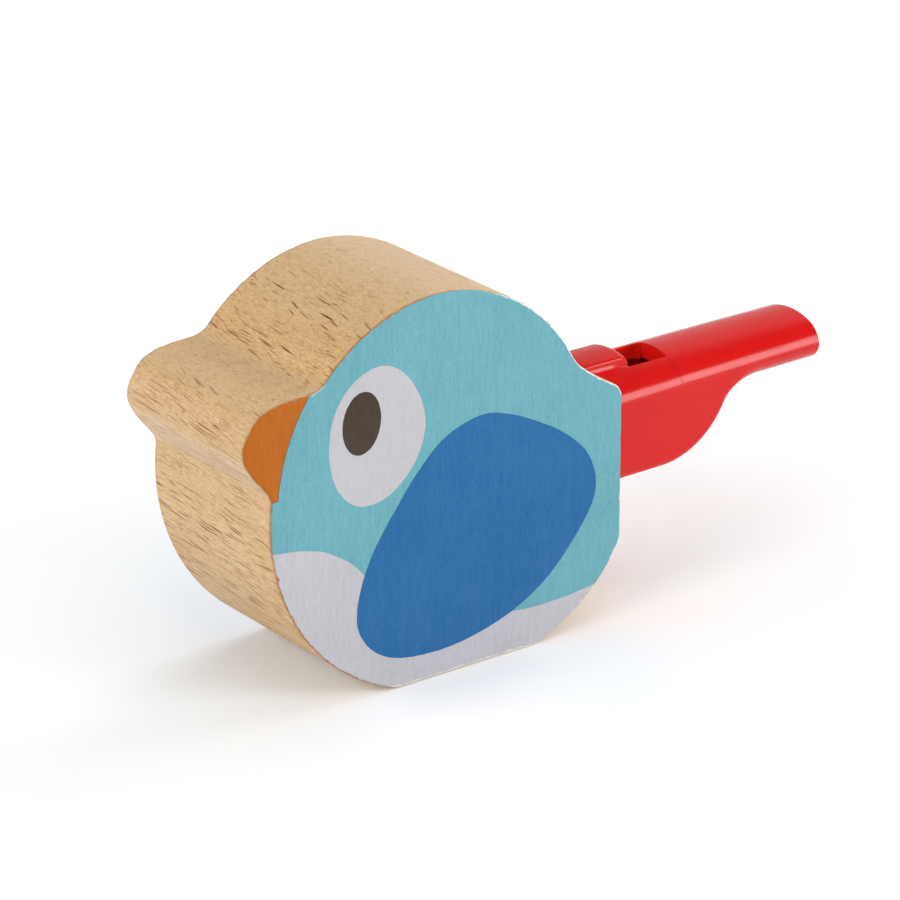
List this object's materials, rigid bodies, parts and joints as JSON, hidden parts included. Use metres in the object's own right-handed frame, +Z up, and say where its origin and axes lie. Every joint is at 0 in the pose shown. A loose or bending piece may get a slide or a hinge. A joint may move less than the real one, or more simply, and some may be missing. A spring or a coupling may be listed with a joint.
{
  "type": "bird call",
  "caption": "Bird-shaped painted beech block with a red moulded whistle pushed into its tail; the whistle's chamber holds a loose cork pea.",
  "frame": {"origin": "middle of the bounding box's footprint, on the surface the block stands on", "axes": "+X from the bird's beak towards the mouthpiece in its tail, +Z up, the bird's left side faces -Y"},
  "size_m": [0.1149, 0.03, 0.0602],
  "materials": {
    "beech": "sanded and lightly oiled, edge and side grain with ray flecks",
    "light_blue_paint": "satin water-based paint on wood",
    "lilac_white_paint": "satin water-based paint on wood",
    "wing_blue_paint": "satin water-based paint on wood",
    "pupil_paint": "satin water-based paint on wood",
    "beak_paint": "satin water-based paint on wood",
    "red_plastic": "glossy injection-moulded ABS",
    "cork": "natural cork"
  },
  "bodies": {
    "block": {"bird_body": "beech", "left_blue_paint": "light_blue_paint", "left_belly_paint": "lilac_white_paint", "left_wing_paint": "wing_blue_paint", "left_eye_white_paint": "lilac_white_paint", "left_pupil_paint": "pupil_paint", "left_beak_paint": "beak_paint", "right_blue_paint": "light_blue_paint", "right_belly_paint": "lilac_white_paint", "right_wing_paint": "wing_blue_paint", "right_eye_white_paint": "lilac_white_paint", "right_pupil_paint": "pupil_paint", "right_beak_paint": "beak_paint"},
    "whistle": {"whistle_body": "red_plastic", "mouthpiece_cover": "red_plastic", "end_plug": "red_plastic"},
    "pea": {"pea": "cork"}
  },
  "joints": [
    {"name": "whistle_pull", "type": "slide", "parent": "block", "child": "whistle", "axis": [1, 0, 0], "range_m": [0, 0.03]},
    {"name": "pea_roll", "type": "slide", "parent": "whistle", "child": "pea", "axis": [1, 0, 0], "range_m": [-0.0255, 0.0118]}
  ]
}
